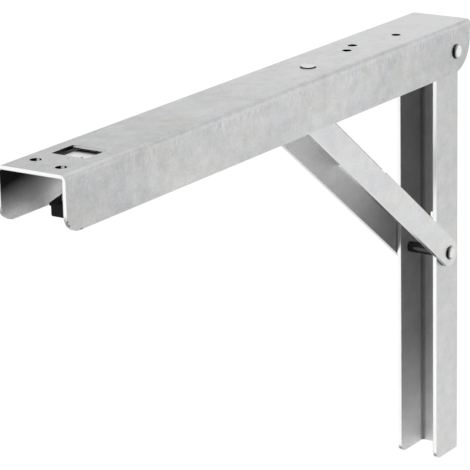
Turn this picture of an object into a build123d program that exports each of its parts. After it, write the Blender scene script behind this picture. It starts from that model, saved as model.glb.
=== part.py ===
from build123d import *
import os
from math import asin, cos, degrees, radians, sin, sqrt, tan

os.makedirs("parts", exist_ok=True)

# Folding shelf bracket: a wall channel, a shelf arm and a folding strut, with a
# release latch under the arm. X runs across the bracket, the wall is the plane
# y = 0 and the open arm reaches toward -Y. Everything is built with z = 0 at the
# arm's top face and raised at the end, so that the frame's origin is the middle
# of the wall channel's back face.

# Clearances between parts
press_gap = 0.02
running_gap = 0.08
side_gap = 0.1
slide_gap = 0.3
wall_side_room = 0.6
strut_side_room = 2.25
strip_side_room = 0.25

# Shelf arm, a channel open downward
arm_width = 42.0
arm_height = 29.5
arm_gauge = 2.0
arm_reach = 400.0
arm_wall_gap = 0.2
arm_flange_setback = 1.3
arm_flange_rise = 6.0
arm_rear_corner = 19.0
arm_front_corner = 9.5
bend_inside = 1.5

# Holes in the arm's top face
front_hole = 6.0
front_hole_x = 9.8
front_hole_far = 16.9
front_hole_near = 11.6
rear_hole = 5.5
rear_hole_x = 4.0
rear_hole_ys = (-59.5, -95.2, -108.0)
window_width = 21.5
window_from_front = 30.2
window_length = 18.2
window_corner = 0.8

# Wall channel, open to the front
wall_depth = 28.8
wall_gauge = 2.5
wall_top_z = -8.9
wall_bottom_z = -274.5
wall_front_corner = 5.0
wall_hole = 5.5
wall_hole_x = 4.0
wall_hole_zs = (-45.0, -125.8, -250.0)

# Pivots
pivot_y = -17.5
arm_pivot_z = -16.4
strut_pivot_z = -142.4
pin_diameter = 7.0
pin_head = 8.8
pin_head_height = 1.5
strut_pin_head = 8.0
bush_diameter = 14.0

# Strut, drawn along its own length from its lower pivot
strut_gauge = 2.5
strut_rise = 37.77
strut_bend_inside = 0.5
strut_upper_edge = 8.3
strut_lower_edge = 8.3
strut_web_rise = 0.9
strut_lower_end_radius = 8.6
strut_web_length = 71.7
strut_web_to_bar = 32.4
relief_length = 5.2
relief_depth = 0.8

# Catch bar across the strut's upper end
bar_drop = 13.5
bar_side = 6.5
bar_edge_break = 0.3
bar_tenon = 5.0
bar_head = 8.0
bar_head_height = 1.5

# Latch strip, hung under the arm's top face
strip_gauge = 1.5
strip_drop = 1.45
strip_from_front = 37.4
strip_corner = 3.0
strip_hole = 2.0
strip_hole_inset = 3.7
stem_width = 16.0
stem_lean = -10.0
stem_below_arm = 0.8
stem_bend_inside = 1.0
tongue_width = 8.0
tongue_slope = 45.0
tongue_overlap = 1.0
lance_width = 1.2

# Latch rivet
latch_rivet_x = 2.0
latch_rivet_y = -152.7
latch_rivet_to_end = 11.5
latch_rivet_disc = 9.2
latch_rivet_disc_height = 0.8
latch_rivet_shank = 5.0
latch_rivet_foot_height = 1.2

# Release handle, a hollow plastic moulding
handle_before_strip = 7.6
handle_depth = 12.0
handle_past_strip = 2.3
handle_lip_overhang = 1.0
handle_lip_thickness = 1.5
handle_lip_slope = 11.0
handle_lip_in_arm = 3.9
handle_below_arm = 3.3
handle_wall = 1.6
handle_boss_wall = 1.8
handle_corner = 1.5

# The finished part's frame: origin at the middle of the wall channel's back face
raise_by = -(wall_top_z + wall_bottom_z) / 2

# Places that follow from the sizes above
arm_inside = arm_width / 2 - arm_gauge
strut_outside = arm_inside - strut_side_room
strut_inside = strut_outside - strut_gauge
strut_width = 2 * strut_outside
wall_outside = strut_inside - wall_side_room
wall_width = 2 * wall_outside
bar_z = -bar_drop
strut_length = (bar_z - strut_pivot_z) / sin(radians(strut_rise))
bar_y = pivot_y - strut_length * cos(radians(strut_rise))
strut_upper_end_radius = bar_drop - arm_gauge - slide_gap
strut_web_top = strut_upper_edge + strut_web_rise
strut_web_end = strut_length - strut_web_to_bar
strut_web_start = strut_web_end - strut_web_length
window_front_y = window_from_front - arm_reach
window_rear_y = window_front_y + window_length
strip_width = window_width - 2 * strip_side_room
strip_front_y = strip_from_front - arm_reach
strip_rear_y = latch_rivet_y + latch_rivet_to_end
strip_top_z = -arm_gauge - strip_drop
strip_bottom_z = strip_top_z - strip_gauge
stem_bottom_z = -arm_height - stem_below_arm
handle_front_y = strip_front_y - handle_before_strip
handle_lip_half = strip_width / 2 + handle_past_strip
handle_body_half = handle_lip_half - handle_lip_overhang
handle_lip_top_z = handle_lip_in_arm - arm_height
handle_bottom_z = -arm_height - handle_below_arm


def channel_section(width, depth, gauge, inside):
    """U section with its web on the sketch's upper side and two bent corners."""
    outer = Rectangle(width, depth, align=(Align.CENTER, Align.MAX))
    outer = fillet(outer.vertices().group_by(Axis.Y)[-1], inside + gauge)
    inner = Rectangle(width - 2 * gauge, depth, align=(Align.CENTER, Align.MAX))
    inner = fillet(inner.vertices().group_by(Axis.Y)[-1], inside)
    return outer - Pos(0, -gauge) * inner


def corner(shape, u, v):
    """The vertex of a flat outline nearest to a place."""
    return shape.vertices().sort_by_distance((u, v, 0))[0]


def side_block(u0, u1, v0, v1):
    """Flat rectangle in a side view, between two lengths and two heights."""
    block = Rectangle(u1 - u0, v1 - v0, align=(Align.MIN, Align.MIN))
    return Pos(u0, v0) * block


def across(outline, half):
    """A side view outline turned into a solid across the bracket's width."""
    return extrude(Plane.YZ * outline, amount=half, both=True)


def cross_hole(y, z, diameter, half):
    """A round rod across the bracket, used to bore pivot holes."""
    return Pos(0, y, z) * Rot(0, 90, 0) * Cylinder(diameter / 2, 2 * half)


def domed_head(diameter, height):
    """Upset rivet head on the plane z = 0, its rim rolled over in two bevels."""
    radius = diameter / 2
    profile = Polygon(
        (0, 0),
        (radius, 0),
        (radius, 0.3 * height),
        (radius - 0.2 * height, 0.7 * height),
        (radius - 0.7 * height, height),
        (0, height),
        align=None,
    )
    return revolve(Plane.XZ * profile, Axis.Z)


def headed_pin(y, z, shank, shank_half, head, head_height):
    """Pin across the bracket with an upset head at each end."""
    pin = cross_hole(y, z, shank, shank_half)
    for side in (-1, 1):
        pin += Pos(side * shank_half, y, z) * Rot(0, side * 90, 0) * domed_head(head, head_height)
    return pin


def finish(shape, name):
    """Raise a piece to the finished frame and write it out."""
    solid = Pos(0, 0, raise_by) * shape
    solid.label = name
    export_step(solid, "parts/" + name + ".step")
    print(name, len(solid.solids()), round(solid.volume, 1), solid.bounding_box())


# Shelf arm: bent channel, its flanges set back from the wall and rounded at the corners
arm = extrude(Plane.XZ * channel_section(arm_width, arm_height, arm_gauge, bend_inside), amount=arm_reach)
flange_side = side_block(-arm_reach, -arm_flange_setback, -arm_height, 0)
flange_side = fillet(corner(flange_side, -arm_flange_setback, -arm_height), arm_rear_corner)
flange_side = fillet(corner(flange_side, -arm_reach, -arm_height), arm_front_corner)
web_rear = Polygon(
    (-arm_flange_setback, 0),
    (-arm_flange_setback, -arm_flange_rise),
    (-arm_wall_gap, -arm_gauge),
    (-arm_wall_gap, 0),
    align=None,
)
arm &= across(flange_side + web_rear, arm_width)
arm -= cross_hole(pivot_y, arm_pivot_z, pin_diameter + 2 * running_gap, arm_width)
for hole_x, from_front in ((-front_hole_x, front_hole_far), (front_hole_x, front_hole_near)):
    hole_y = from_front - arm_reach
    arm -= Pos(hole_x, hole_y, -arm_gauge / 2) * Cylinder(front_hole / 2, 2 * arm_gauge)
for hole_x, hole_y in zip((rear_hole_x, -rear_hole_x, 0), rear_hole_ys):
    arm -= Pos(hole_x, hole_y, -arm_gauge / 2) * Cylinder(rear_hole / 2, 2 * arm_gauge)
window = RectangleRounded(window_width, window_rear_y - window_front_y, window_corner)
window_place = Pos(0, (window_rear_y + window_front_y) / 2, -2 * arm_gauge)
arm -= window_place * extrude(window, amount=3 * arm_gauge)
latch_rivet_hole = latch_rivet_shank + 2 * press_gap
arm -= Pos(latch_rivet_x, latch_rivet_y, -arm_gauge / 2) * Cylinder(latch_rivet_hole / 2, 2 * arm_gauge)
finish(arm, "arm_channel")

# Wall channel: upright bent channel with three staggered screw holes
wall_height = wall_top_z - wall_bottom_z
wall = extrude(channel_section(wall_width, wall_depth, wall_gauge, bend_inside), amount=wall_height)
wall = Pos(0, 0, wall_bottom_z) * wall
wall_side = side_block(-wall_depth, 0, wall_bottom_z, wall_top_z)
wall_side = fillet(corner(wall_side, -wall_depth, wall_bottom_z), wall_front_corner)
wall_side = fillet(corner(wall_side, -wall_depth, wall_top_z), wall_front_corner)
wall &= across(wall_side, wall_width)
pin_seat = pin_diameter + 2 * press_gap
wall -= cross_hole(pivot_y, arm_pivot_z, pin_seat, wall_width)
wall -= cross_hole(pivot_y, strut_pivot_z, pin_seat, wall_width)
for hole_x, hole_z in zip((wall_hole_x, -wall_hole_x, wall_hole_x), wall_hole_zs):
    wall -= Pos(hole_x, 0, hole_z) * Rot(90, 0, 0) * Cylinder(wall_hole / 2, 3 * wall_gauge)
finish(wall, "wall_channel")

# Strut outline, with its length toward -Y and its web side up. The upper end is cut
# to an arc about the catch bar, which lets it slide under the arm's web as it turns.
strut_band = side_block(-2 * strut_length, strut_length, -strut_lower_edge, strut_upper_edge)
strut_side = side_block(-strut_length, 0, -strut_lower_edge, strut_upper_edge)
for end_place, end_radius in ((0, strut_lower_end_radius), (-strut_length, strut_upper_end_radius)):
    strut_side += Pos(end_place, 0) * Circle(end_radius) & strut_band
strut_side += side_block(-strut_web_end, -strut_web_start, 0, strut_web_top)

# Strut section bent from sheet; the web is kept only along the middle of the length,
# where it stands a little above the flanges' upper edges
strut_depth = strut_web_top + strut_lower_edge
strut_section = channel_section(strut_width, strut_depth, strut_gauge, strut_bend_inside)
bent = Pos(0, -strut_web_start, strut_web_top) * extrude(
    Plane.XZ * strut_section, amount=strut_web_end - strut_web_start
)
flat = Box(strut_width, 3 * strut_length, 3 * strut_depth)
flat -= Box(2 * strut_inside, 3 * strut_length, 3 * strut_depth)
web_zone = Pos(0, -(strut_web_start + strut_web_end) / 2, 0) * Box(
    2 * strut_width, strut_web_end - strut_web_start, 2 * strut_length
)
strut = (flat - web_zone) + bent
strut &= across(strut_side, strut_width)
for notch_y in (-strut_web_start + relief_length / 2, -strut_web_end - relief_length / 2):
    notch_z = strut_upper_edge - relief_depth / 2
    notch = Pos(0, notch_y, notch_z) * Box(2 * strut_width, relief_length, relief_depth)
    strut -= notch
strut -= cross_hole(0, 0, pin_diameter + 2 * running_gap, strut_width)
strut -= cross_hole(-strut_length, 0, bar_tenon + 2 * press_gap, strut_width)
strut_place = Pos(0, pivot_y, strut_pivot_z) * Rot(-strut_rise, 0, 0)
finish(strut_place * strut, "strut")

# Pivot rivets, each through both sides of the bracket
arm_pin = headed_pin(pivot_y, arm_pivot_z, pin_diameter, arm_width / 2 + side_gap, pin_head, pin_head_height)
finish(arm_pin, "arm_pivot_rivet")
strut_pin_half = strut_outside + side_gap
strut_pin = headed_pin(pivot_y, strut_pivot_z, pin_diameter, strut_pin_half, strut_pin_head, pin_head_height)
finish(strut_pin, "strut_pivot_rivet")

# Spacer bushes on the arm's rivet, between each arm flange and the wall channel
bush_length = arm_inside - wall_outside - 2 * side_gap
for side, name in ((-1, "arm_bush_left"), (1, "arm_bush_right")):
    bush = Cylinder(bush_diameter / 2, bush_length)
    bush = chamfer(bush.edges().filter_by(GeomType.CIRCLE), 0.4)
    bush -= Cylinder(pin_diameter / 2 + running_gap, 2 * bush_length)
    bush_x = side * (arm_inside + wall_outside) / 2
    finish(Pos(bush_x, pivot_y, arm_pivot_z) * Rot(0, 90, 0) * bush, name)

# Catch bar: square between the strut's flanges, with a riveted tenon at each end
bar = Box(2 * (strut_inside - press_gap), bar_side, bar_side)
bar = chamfer(bar.edges().filter_by(Axis.X), bar_edge_break)
bar = Pos(0, bar_y, bar_z) * bar
bar += headed_pin(bar_y, bar_z, bar_tenon, strut_outside, bar_head, bar_head_height)
finish(bar, "catch_bar")

# Latch strip: a flat steel strip with a lanced tongue that stops the catch bar,
# bent down at the front into a leaning stem that carries the handle
stem_dy = sin(radians(stem_lean))
stem_dz = -cos(radians(stem_lean))
stem_length = (strip_top_z - stem_bottom_z) / cos(radians(stem_lean))
inner_step = strip_gauge / cos(radians(stem_lean))
stem_end_y = strip_front_y + stem_length * stem_dy
stem_end_z = strip_top_z + stem_length * stem_dz
strip_side = Polygon(
    (strip_rear_y, strip_top_z),
    (strip_front_y, strip_top_z),
    (stem_end_y, stem_end_z),
    (stem_end_y + strip_gauge * cos(radians(stem_lean)), stem_end_z + strip_gauge * stem_dy),
    (strip_front_y + inner_step * (1 + stem_dy), strip_bottom_z),
    (strip_rear_y, strip_bottom_z),
    align=None,
)
stem_inner_y = strip_front_y + inner_step * (1 + stem_dy)
strip_side = fillet(corner(strip_side, stem_inner_y, strip_bottom_z), stem_bend_inside)
strip_side = fillet(corner(strip_side, strip_front_y, strip_top_z), stem_bend_inside + strip_gauge)
strip_plan = side_block(-strip_width / 2, strip_width / 2, strip_front_y - stem_length, strip_rear_y)
strip_plan = fillet(strip_plan.vertices().group_by(Axis.Y)[-1], strip_corner)
strip_front = side_block(-strip_width / 2, strip_width / 2, strip_bottom_z - strip_gauge, 0)
stem_front = side_block(-stem_width / 2, stem_width / 2, stem_bottom_z, 0)
strip = across(strip_side, strip_width)
strip &= extrude(Plane.XZ * (strip_front + stem_front), amount=arm_reach)
strip &= Pos(0, 0, -arm_reach) * extrude(strip_plan, amount=2 * arm_reach)
tongue_tip_y = bar_y - bar_side / 2 - slide_gap
tongue_tip_z = bar_z + bar_side / 2 - tongue_overlap
tongue_drop = strip_bottom_z - tongue_tip_z
tongue_run = tongue_drop / tan(radians(tongue_slope))
tongue_tip_height = strip_gauge / cos(radians(tongue_slope))
tongue_root_y = tongue_tip_y - tongue_run
tongue = Polygon(
    (tongue_tip_y, tongue_tip_z),
    (tongue_tip_y, tongue_tip_z + tongue_tip_height),
    (tongue_root_y + (tongue_tip_height - strip_gauge) / tan(radians(tongue_slope)), strip_top_z),
    (tongue_root_y - 1, strip_top_z),
    (tongue_root_y - 1, strip_bottom_z),
    (tongue_root_y, strip_bottom_z),
    align=None,
)
lance_length = sqrt(tongue_drop ** 2 + tongue_run ** 2)
lance = Pos(0, tongue_root_y + lance_length / 2, strip_bottom_z) * Box(
    tongue_width + 2 * lance_width, lance_length, 4 * strip_gauge
)
strip -= lance
strip += across(tongue, tongue_width / 2)
strip_hole_place = Pos(0, strip_front_y + strip_hole_inset, strip_bottom_z)
strip -= strip_hole_place * Cylinder(strip_hole / 2, 2 * strip_gauge + strip_drop)
strip_rivet_hole = latch_rivet_shank + 2 * slide_gap
strip -= Pos(latch_rivet_x, latch_rivet_y, strip_bottom_z) * Cylinder(strip_rivet_hole / 2, 4 * strip_gauge)
finish(strip, "latch_strip")

# Latch rivet: flat disc on the arm, shank through the strip, foot under the strip
foot_z = strip_bottom_z - side_gap
latch_rivet = Cylinder(
    latch_rivet_shank / 2, -foot_z, align=(Align.CENTER, Align.CENTER, Align.MAX)
)
latch_rivet += domed_head(latch_rivet_disc, latch_rivet_disc_height)
latch_rivet += Pos(0, 0, foot_z) * Rot(180, 0, 0) * domed_head(latch_rivet_disc, latch_rivet_foot_height)
finish(Pos(latch_rivet_x, latch_rivet_y, 0) * latch_rivet, "latch_rivet")

# Release handle: a shallow box open underneath, with a lip plate that rises to the
# rear and a boss that grips the strip's stem
handle_rear_y = handle_front_y + handle_depth
lip_rise = handle_depth * tan(radians(handle_lip_slope))
lip_under_front = handle_lip_top_z - handle_lip_thickness
lip_under_rear = lip_under_front + lip_rise
lip = Polygon(
    (handle_front_y, handle_lip_top_z),
    (handle_rear_y, handle_lip_top_z + lip_rise),
    (handle_rear_y, lip_under_rear),
    (handle_front_y, lip_under_front),
    align=None,
)
body = Polygon(
    (handle_front_y, handle_bottom_z),
    (handle_front_y, lip_under_front),
    (handle_rear_y, lip_under_rear),
    (handle_rear_y, handle_bottom_z),
    align=None,
)
body = fillet(corner(body, handle_front_y, handle_bottom_z), handle_corner)
body = fillet(corner(body, handle_rear_y, handle_bottom_z), handle_corner)
hollow = Polygon(
    (handle_front_y + handle_wall, 2 * handle_bottom_z),
    (handle_front_y + handle_wall, lip_under_front),
    (handle_rear_y - handle_wall, lip_under_rear),
    (handle_rear_y - handle_wall, 2 * handle_bottom_z),
    align=None,
)
handle = across(body, handle_body_half)
handle -= across(hollow, handle_body_half - handle_wall)
handle += across(lip, handle_lip_half)
lean = tan(radians(stem_lean))
grip_top_y = strip_front_y + (strip_top_z - lip_under_front) * lean
grip_bottom_y = strip_front_y + (strip_top_z - stem_bottom_z) * lean
boss = side_block(
    min(grip_top_y, grip_bottom_y) - handle_boss_wall,
    max(grip_top_y, grip_bottom_y) + inner_step + handle_boss_wall,
    stem_bottom_z,
    handle_lip_top_z,
)
handle += across(boss & (body + lip), stem_width / 2 + handle_boss_wall)
slot = Polygon(
    (strip_front_y - press_gap, strip_top_z),
    (grip_bottom_y - press_gap, stem_bottom_z),
    (grip_bottom_y + inner_step + press_gap, stem_bottom_z),
    (strip_front_y + inner_step + press_gap, strip_top_z),
    align=None,
)
handle -= across(slot, stem_width / 2 + press_gap)
finish(handle, "release_handle")
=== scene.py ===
from math import cos, radians, sin
import bpy
from mathutils import Matrix, Vector


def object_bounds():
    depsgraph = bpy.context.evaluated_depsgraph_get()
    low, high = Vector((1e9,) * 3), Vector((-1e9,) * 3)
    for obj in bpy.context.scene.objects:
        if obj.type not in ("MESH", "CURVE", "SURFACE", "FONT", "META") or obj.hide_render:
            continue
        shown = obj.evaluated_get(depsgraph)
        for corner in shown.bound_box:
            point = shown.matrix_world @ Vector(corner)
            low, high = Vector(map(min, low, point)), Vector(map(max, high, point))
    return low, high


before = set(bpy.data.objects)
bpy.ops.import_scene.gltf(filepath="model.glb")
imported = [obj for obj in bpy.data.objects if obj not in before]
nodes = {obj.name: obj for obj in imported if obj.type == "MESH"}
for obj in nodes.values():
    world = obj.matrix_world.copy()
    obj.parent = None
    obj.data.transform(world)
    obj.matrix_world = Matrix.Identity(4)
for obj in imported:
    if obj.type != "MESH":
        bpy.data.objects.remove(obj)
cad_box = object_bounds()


# Wall channel: 2.5 mm sheet steel bent to a U, zinc plated after it is punched and
# bent. The plating is cloudy grey outside, and thin and rough inside the U where little
# of it reaches; the colour inside is painted shade. The punched hole walls are painted
# near black as shade, and the cut edges are lighter.
class Shade:
    """A socket in a material; sums written with it add Math nodes."""

    def __init__(self, tree, socket=None):
        self.tree = tree
        self.socket = socket

    def node(self, kind, settings, values, out=0):
        """Adds a node, gives its settings and then its inputs; out is the output wanted."""
        made = self.tree.nodes.new(kind)
        for name, setting in settings.items():
            setattr(made, name, setting)
        for name, value in values.items():
            if isinstance(value, Shade):
                self.tree.links.new(value.socket, made.inputs[name])
            else:
                made.inputs[name].default_value = value
        return Shade(self.tree, made.outputs[out])

    def math(self, operation, a, b=0.0, clamp=False):
        settings = {"operation": operation, "use_clamp": clamp}
        return self.node("ShaderNodeMath", settings, {0: a, 1: b})

    def vector(self, operation, a, b=(0, 0, 0), out=0):
        return self.node("ShaderNodeVectorMath", {"operation": operation}, {0: a, 1: b}, out)

    def __add__(self, other):
        return self.math("ADD", self, other)

    def __sub__(self, other):
        return self.math("SUBTRACT", self, other)

    def __rsub__(self, other):
        return self.math("SUBTRACT", other, self)

    def __mul__(self, other):
        return self.math("MULTIPLY", self, other)

    def __truediv__(self, other):
        return self.math("DIVIDE", self, other)

    def __rtruediv__(self, other):
        return self.math("DIVIDE", other, self)

    def __abs__(self):
        return self.math("ABSOLUTE", self)

    __radd__ = __add__
    __rmul__ = __mul__

    def rise(self, low, high):
        """0 up to low, 1 from high on, straight between them."""
        return self.math("DIVIDE", self - low, high - low, clamp=True)

    def fall(self, low, high):
        """1 up to low, 0 from high on, straight between them."""
        return 1 - self.rise(low, high)

    def band(self, low, high, soft):
        """1 between low and high, fading to 0 over soft on either side."""
        return self.rise(low - soft, low) * self.fall(high, high + soft)

    def mix(self, first, second):
        """A colour between two, by this value; a Mix node's colour sockets go by number."""
        values = {0: self, 6: first, 7: second}
        return self.node("ShaderNodeMix", {"data_type": "RGBA"}, values, out=2)

    def axes(self):
        """The three numbers of this vector."""
        split = self.tree.nodes.new("ShaderNodeSeparateXYZ")
        self.tree.links.new(self.socket, split.inputs[0])
        return [Shade(self.tree, socket) for socket in split.outputs]

    def along(self, direction):
        """How far this vector goes in a direction."""
        return self.vector("DOT_PRODUCT", self, direction, out="Value")

    def away(self, centre):
        """How far this place is from another."""
        return self.vector("DISTANCE", self, centre, out="Value")

    def past(self, centre):
        """The way from another place to this one."""
        return self.vector("SUBTRACT", self, centre)

    def place(self):
        """Where a point lies on the bracket at rest, in millimetres."""
        metres = self.node("ShaderNodeTexCoord", {}, {}, out="Object")
        return self.vector("MULTIPLY", metres, (1000, 1000, 1000))

    def facing(self):
        """Which way a face looks, in the bracket's own directions."""
        return self.node("ShaderNodeTexCoord", {}, {}, out="Normal")

    def cells(self, sizes, detail=2.0):
        """Cloudy noise about 0 at this place, its patches so many millimetres long."""
        scaled = self.vector("DIVIDE", self, sizes)
        values = {"Vector": scaled, "Scale": 1.0, "Detail": detail, "Roughness": 0.55}
        return self.node("ShaderNodeTexNoise", {}, values) - 0.5

    def worn_rim(self, radius):
        """1 along a sheet's edges, 0 on its flats; the radius is in metres."""
        soft = self.node("ShaderNodeBevel", {"samples": 4}, {"Radius": radius})
        hard = self.node("ShaderNodeNewGeometry", {}, {}, out="Normal")
        return (1 - soft.along(hard)).rise(0.02, 0.2)

    def relief(self, strength, depth):
        """A bumped normal from this height; the depth is in metres."""
        values = {"Strength": strength, "Distance": depth, "Height": self}
        return self.node("ShaderNodeBump", {}, values)


def grey(level, tint=(1.0, 1.0, 1.0)):
    """A colour for a shader socket."""
    return tuple(level * part for part in tint) + (1.0,)


def new_finish(name):
    """A material with only its shader; returns it, a Shade to build with, and the shader."""
    material = bpy.data.materials.new(name)
    material.use_nodes = True
    tree = material.node_tree
    tree.nodes.clear()
    shader = tree.nodes.new("ShaderNodeBsdfPrincipled")
    output = tree.nodes.new("ShaderNodeOutputMaterial")
    tree.links.new(shader.outputs[0], output.inputs[0])
    return material, Shade(tree), shader


def feed(shader, values):
    """Give the shader its values."""
    for name, value in values.items():
        if isinstance(value, Shade):
            value.tree.links.new(value.socket, shader.inputs[name])
        else:
            shader.inputs[name].default_value = value


def dress(node, material):
    """Give a carried-over node its finish."""
    piece = nodes[node]
    if not piece.material_slots:
        piece.data.materials.append(material)
    for held in piece.material_slots:
        held.material = material


def corners(node):
    """A piece's low and high corner at rest, in millimetres."""
    sides = list(zip(*nodes[node].bound_box))
    low, high = [Vector(pick(side) for side in sides) * 1000 for pick in (min, max)]
    return low, high


cool_shadow, warm_shadow = (0.97, 0.99, 1.02), (1.0, 1.005, 0.975)
cool_light, warm_light = (0.98, 0.995, 1.01), (1.015, 1.01, 0.985)
rim_radius = 0.0005
rim_wear = 0.45
bright_edge = 0.80
# Colours laid over the plating: lighter cut ends, hole walls painted near black as shade, dark
# marks with painted shade round heads, and painted glints.
marks_and_painted_light = {"cut": bright_edge, "hole_shade": 0.02, "marks_and_shade": 0.10, "painted_glint": 0.95}


def zinc(name, outside, zones=None, mottle=0.5, gloss=0.30):
    """Zinc plated sheet. zones gives the masks that a sheet has: its rougher inside and the
    painted shade there, cut ends, hole walls painted near black as shade, dark marks and
    painted shade round rivet heads, painted glints, draw streaks, and a tone that lifts or
    lowers the grey, which on the arm is painted light."""
    material, shade, shader = new_finish(name)
    place = shade.place()
    masks = zones(place) if zones else {}
    clouds = place.cells((30, 40, 26))
    patches = place.cells((7, 9, 7), 3.0)
    grain = place.cells((1.4, 1.7, 1.4), 1.0)
    turn = (radians(20), 0, radians(35))
    turned = shade.node("ShaderNodeMapping", {}, {"Vector": place, "Rotation": turn})
    brushed = turned.cells((30, 0.9, 30))
    level = (clouds * 1.1 + patches * 1.3 + grain * 0.9 + brushed * 0.2) * mottle
    if "streaks" in masks:
        level = level + place.cells((2.2, 1.2, 6), 1.0) * masks["streaks"] * 2.4
    level = (0.5 + level + masks.get("tone", 0.0)).rise(0.0, 1.0)
    warmth = (0.5 + place.cells((14, 20, 14)) * 2.4).rise(0.0, 1.0)
    dark = warmth.mix(grey(outside * 0.80, cool_shadow), grey(outside * 0.82, warm_shadow))
    light = warmth.mix(grey(outside * 1.20, cool_light), grey(outside * 1.18, warm_light))
    colour = level.mix(dark, light)
    rough = gloss + clouds * 0.12
    # The inside's colour is painted shade, darker where little light reaches into the U; its
    # extra roughness is the dull plating.
    if "inside" in masks:
        inside_shade_colour = (masks["inside_painted_shade"] * (0.85 + level * 0.3)).rise(0.0, 1.0)
        colour = masks["inside"].mix(colour, inside_shade_colour.mix(grey(0.0), grey(1.0)))
        rough = rough + masks["inside"] * 0.38
    colour = (shade.worn_rim(rim_radius) * rim_wear).mix(colour, grey(bright_edge))
    for zone, finish in marks_and_painted_light.items():
        if zone in masks:
            colour = masks[zone].mix(colour, grey(finish))
    normal = (grain * 0.6 + patches * 0.3 + brushed * 0.2).relief(0.10, 0.0002)
    metal = 1 - masks.get("painted_glint", 0.0)
    feed(shader, {"Base Color": colour, "Roughness": rough, "Metallic": metal, "Normal": normal})
    return material


wall_low, wall_high = corners("wall_channel")
wall_gauge = 2.5
wall_inside_half = wall_high.x - wall_gauge
wall_holes_half = 9.0
skin = 0.1


def wall_zones(place):
    x, y, z = place.axes()
    between = abs(x).fall(wall_inside_half + skin, wall_inside_half + 4 * skin)
    through = y.band(-wall_gauge + skin, -skin, skin / 2)
    by_holes = abs(x).fall(wall_holes_half, wall_holes_half + skin)
    # Painted shade: darker in the inside corners of the bends, lighter towards the open lower
    # end.
    bend = abs(x).rise(wall_inside_half - 2.5, wall_inside_half) * y.rise(-5.5, -wall_gauge)
    open_end = z.fall(wall_low.z + 4, wall_low.z + 75)
    return {
        "inside": between * y.fall(-wall_gauge + 2 * skin, -1.5),
        "inside_painted_shade": (1 - bend * 0.7) * (0.66 + open_end * 0.26),
        # The punched hole walls are painted near black as shade.
        "hole_shade": through * by_holes * abs(z).fall(wall_high.z - 0.8, wall_high.z - 0.3),
        "cut": y.fall(wall_low.y + 0.02, wall_low.y + skin),
        "tone": 0.16 - z.rise(-100, 60) * 0.45,
    }


dress("wall_channel", zinc("wall_zinc", 0.66, wall_zones))

# Shelf arm: 2 mm sheet steel bent to a U open downward, plated like the wall channel.
# Bending drew fine upright streaks down from the bend, and the shop left a few dark
# smudges on its lower front corner.
arm_low, arm_high = corners("arm_channel")
arm_gauge = 2.0
arm_inside_half = arm_high.x - arm_gauge
arm_holes_half = 17.0
window_half = 10.75
window_rear = -351.6
front_holes = (((-9.8, -383.1), (0.3, 1.6)), ((9.8, -388.4), (-0.2, 1.3)))
smudges = ((-399.4, 118.5), (-398.2, 116.2), (-389.2, 112.4), (-388.2, 112.3))
smudge_radius = 0.8
top_fleck = (3.3, -373.9)
to_front_right = (0.56, -0.83, 0.0)


def middle(node):
    """The middle of a piece at rest, in millimetres."""
    low, high = corners(node)
    return (low + high) / 2


latch_head = middle("latch_rivet")
arm_pin = middle("arm_pivot_rivet")


def spot(place, centre, radius):
    """1 at a point, fading to 0 at this distance from it."""
    return place.away(centre).fall(radius * 0.45, radius)


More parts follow.
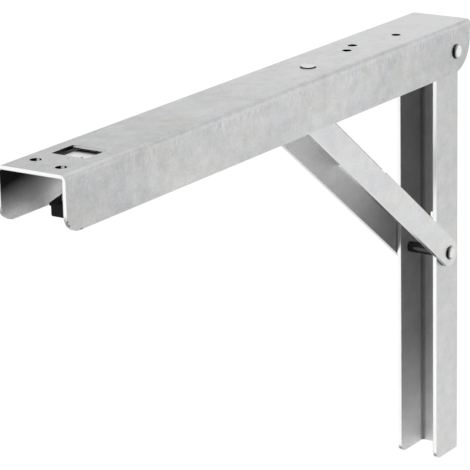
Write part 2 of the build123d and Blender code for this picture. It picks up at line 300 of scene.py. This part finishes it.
def arm_zones(place):
    x, y, z = place.axes()
    depth = arm_high.z - z
    from_front = y - arm_low.y
    between = abs(x).fall(arm_inside_half + skin, arm_inside_half + 4 * skin)
    # Painted light inside the U: dark up under the web near the front, lighter lower down and
    # further back.
    lit = ((depth - 8) / 12 + from_front / 80).rise(0.3, 1.7)
    top = depth.fall(skin, 5 * skin)
    flange = abs(x).rise(arm_high.x - 3 * skin, arm_high.x - skin)
    through = z.band(arm_high.z - arm_gauge + 0.15, arm_high.z - 0.12, 0.05)
    by_holes = abs(x).fall(arm_holes_half, arm_holes_half + 0.2) * y.band(-398.0, -5.0, 0.5)
    # Painted glints: a bright line along the window's rear lip and bright spots on the front
    # holes' walls.
    lip = y.band(window_rear - 0.3, window_rear + 0.3, 0.1) * depth.fall(1.2, 1.4)
    painted_glint = lip * abs(x).fall(window_half - 0.8, window_half)
    for (hole_x, hole_y), (first, last) in front_holes:
        by_hole = spot(place, (hole_x, hole_y, arm_high.z - 1), 8.0).rise(0.0, 0.1)
        across = (x - hole_x) * 0.85 + (y - hole_y) * 0.53
        painted_glint = painted_glint + by_hole * across.band(first, last, 0.2)
    # Painted shade: a dark crescent round the front side of the latch rivet's head and one in
    # front of the pivot pin's head; the fleck and smudges below are real marks.
    head_rim = place.away((latch_head.x, latch_head.y, arm_high.z)).band(4.5, 5.2, 0.3)
    head_front = place.past(latch_head).along(to_front_right).rise(0.5, 2.5)
    pin_rim = place.away((arm_high.x, arm_pin.y, arm_pin.z)).band(4.3, 4.9, 0.3)
    marks_and_shade = (head_rim * head_front + pin_rim * (arm_pin.y - y).rise(1.0, 3.0)) * 0.9
    marks_and_shade = marks_and_shade + spot(place, (*top_fleck, arm_high.z), smudge_radius) * 0.6
    for mark_y, mark_z in smudges:
        marks_and_shade = marks_and_shade + spot(place, (arm_high.x, mark_y, mark_z), smudge_radius) * 0.8
    strength = 0.2 + place.cells((40, 26, 8)).rise(-0.12, 0.15) * 0.6
    under_bend = depth.rise(2.5, 4.5) * depth.fall(6.0, 13.0) * flange
    ends = from_front.fall(0, 90) + y.rise(-130, -30)
    return {
        "inside": between * depth.rise(arm_gauge - 4 * skin, arm_gauge - skin),
        "inside_painted_shade": 0.03 + lit * 0.90,
        # The hole and window walls are painted near black as shade.
        "hole_shade": through * by_holes,
        "cut": from_front.fall(0.02, skin),
        "marks_and_shade": marks_and_shade.rise(0.0, 1.0),
        "painted_glint": painted_glint * through * by_holes,
        "streaks": under_bend * strength * (0.35 + 0.65 * from_front.rise(0, 100)),
        # Painted light: the top lighter towards the rear, the flanges darker at both ends.
        "tone": top * y.rise(-330, -90) * 0.45 - flange * ends * 0.35,
    }


dress("arm_channel", zinc("arm_zinc", 0.62, arm_zones, mottle=0.78))

# Strut: 2.5 mm sheet steel bent to a U, its web left on a third of its length, nearer
# the upper end, and cut away past that to two long ears. It is plated evenly, a little
# brighter than the two channels.
strut_half = corners("strut")[1].x
strut_gauge = 2.5
strut_inside_half = strut_half - strut_gauge
strut_lower_edge = -8.3
strut_web_under = 6.7
strut_pin = middle("strut_pivot_rivet")
strut_rise = radians(37.77)
up_strut = (0, -cos(strut_rise), sin(strut_rise))
over_strut = (0, sin(strut_rise), cos(strut_rise))


def strut_zones(place):
    x = place.axes()[0]
    from_pin = place.past(strut_pin)
    over = from_pin.along(over_strut)
    between = abs(x).fall(strut_inside_half + 0.15, strut_inside_half + 0.45)
    # Painted shade: a dark ring on the flange round the pivot pin's head.
    pin_rim = place.away((strut_half, strut_pin.y, strut_pin.z)).band(4.2, 4.6, 0.25)
    return {
        "inside": between * over.fall(strut_web_under + skin, strut_web_under + 4 * skin),
        # Painted light inside the U: lighter towards the upper end.
        "inside_painted_shade": 0.60 + from_pin.along(up_strut).rise(50, 140) * 0.40,
        "cut": over.fall(strut_lower_edge + 0.02, strut_lower_edge + skin) * 0.8,
        "marks_and_shade": pin_rim * 0.5,
    }


dress("strut", zinc("strut_zinc", 0.72, strut_zones))


# Rivets, catch bar and bushes: turned steel, zinc plated, smoother and brighter than
# the sheet where the heads were formed. Their side faces that look front right are
# painted near black as shade.
def bright_zinc(name, axis):
    """Bright plating on a turned piece whose centre line runs along this axis."""
    material, shade, shader = new_finish(name)
    place = shade.place()
    facing = shade.facing()
    scuffs = place.cells((1.2, 1.2, 1.2), 3.0)
    dents = place.cells((0.5, 0.5, 0.5))
    # Painted shade: side faces that look front right are near black.
    shaded_flank = abs(facing.axes()[axis]).fall(0.6, 0.95)
    shaded_flank = shaded_flank * facing.along(to_front_right).rise(0.0, 0.3)
    colour = (0.5 + scuffs + dents * 0.6).rise(0.0, 1.0).mix(grey(0.68), grey(0.95))
    colour = (shaded_flank * 0.95).mix(colour, grey(0.02))
    rough = 0.24 + dents * 0.2
    normal = scuffs.relief(0.15, 0.0001)
    feed(shader, {"Base Color": colour, "Roughness": rough, "Metallic": 1.0, "Normal": normal})
    return material


across_zinc = bright_zinc("across_zinc", 0)
across = ("arm_pivot_rivet", "strut_pivot_rivet", "catch_bar", "arm_bush_left", "arm_bush_right")
for node in across:
    dress(node, across_zinc)
dress("latch_rivet", bright_zinc("upright_zinc", 2))

# Latch strip: 1.5 mm cold rolled spring steel hung under the arm, plated satin and
# brighter than the arm round it.
dress("latch_strip", zinc("strip_zinc", 0.88, gloss=0.85))

# Release handle: one moulding of black plastic with a fine matt grain.
plastic, shade, shader = new_finish("handle_plastic")
place = shade.place()
grain = place.cells((0.4, 0.4, 0.4))
flow = place.cells((4, 4, 4))
colour = (0.5 + grain + flow * 0.5).rise(0.0, 1.0).mix(grey(0.003), grey(0.008))
feed(shader, {
    "Base Color": colour,
    "Roughness": 0.46 + grain * 0.14,
    "Normal": grain.relief(0.25, 0.0001),
    "Specular IOR Level": 0.14,
})
dress("release_handle", plastic)

# Floor: a wide flat sheet of pure white, well below the bracket, which hangs on its
# wall. It is there for the eye only and throws no light back.
floor_z = cad_box[0][2] - 0.20
floor_half = 14.0
floor_mesh = bpy.data.meshes.new("floor")
ways = ((-1, -1), (1, -1), (1, 1), (-1, 1))
floor_corners = [(x * floor_half, y * floor_half, floor_z) for x, y in ways]
floor_mesh.from_pydata(floor_corners, [], [(0, 1, 2, 3)])
floor = bpy.data.objects.new("floor", floor_mesh)
bpy.context.scene.collection.objects.link(floor)
floor_white, shade, shader = new_finish("floor_white")
feed(shader, {
    "Base Color": grey(0.0),
    "Roughness": 1.0,
    "Emission Color": grey(1.0),
    "Emission Strength": 1.0,
})
floor_mesh.materials.append(floor_white)
floor.visible_diffuse = False
floor.visible_glossy = False
floor.visible_shadow = False

# Studio light: soft panels in a dim room, named for the faces they show in or the side
# they stand on, each given as the way to its middle, its spread's edge as a cosine and
# its strength, which is below zero on a black card. The eye sees the room plain white.
room_level = 0.35
panels = {
    "near flanges": ((0.535, 0.794, -0.289), 0.55, 0.55),
    "arm top": ((-0.400, 0.900, 0.170), 0.82, 0.55),
    "arm bend": ((0.450, 0.830, 0.330), 0.75, 0.28),
    "overhead": ((0.000, 0.000, 1.000), 0.50, 1.60),
    "strut lower edges": ((-0.535, 0.478, -0.697), 0.90, 0.70),
    "cut ends": ((-0.535, -0.794, -0.289), 0.75, 1.00),
    "behind the bracket": ((-0.535, 0.794, -0.350), 0.85, -0.15),
    "round the camera": ((0.540, -0.800, 0.000), 0.70, -0.22),
}
room = bpy.data.worlds.new("studio")
room.use_nodes = True
room.node_tree.nodes.clear()
air = Shade(room.node_tree)
way = air.node("ShaderNodeTexCoord", {}, {}, out="Generated")
light = room_level
for toward, edge, strength in panels.values():
    light = light + way.along(Vector(toward).normalized()).rise(edge, 1.0) * strength
seen = air.node("ShaderNodeLightPath", {}, {}, out="Is Camera Ray")
white_room = seen + (1 - seen) * air.math("MAXIMUM", light, 0.0)
backdrop = air.node("ShaderNodeBackground", {}, {"Color": white_room})
output = air.tree.nodes.new("ShaderNodeOutputWorld")
air.tree.links.new(backdrop.socket, output.inputs[0])
bpy.context.scene.world = room
bpy.context.scene.view_settings.view_transform = "Standard"

# Camera: the photograph's, found from the bracket's own edges. Its lens is given by
# the focal length and the picture's width, both in the photograph's pixels.
azimuth, elevation, roll = radians(34.094), radians(16.855), radians(-1.342)
camera_place = Vector((0.7548, -1.3410, 0.4711))
focal_pixels = 2596.75
photo_pixels = 470
sensor = 36.0
level_out = cos(elevation)
back = Vector((sin(azimuth) * level_out, -cos(azimuth) * level_out, sin(elevation)))
right = Vector((0, 0, 1)).cross(back).normalized()
up = back.cross(right)
rolled_right = right * cos(roll) + up * sin(roll)
rolled_up = up * cos(roll) - right * sin(roll)
stance = Matrix((rolled_right, rolled_up, back)).transposed().to_4x4()
lens = bpy.data.cameras.new("camera")
lens.sensor_width = sensor
lens.lens = sensor * (focal_pixels / photo_pixels)
lens.clip_end = 100
camera = bpy.data.objects.new("camera", lens)
camera.matrix_world = Matrix.Translation(camera_place) @ stance
bpy.context.scene.collection.objects.link(camera)
bpy.context.scene.camera = camera
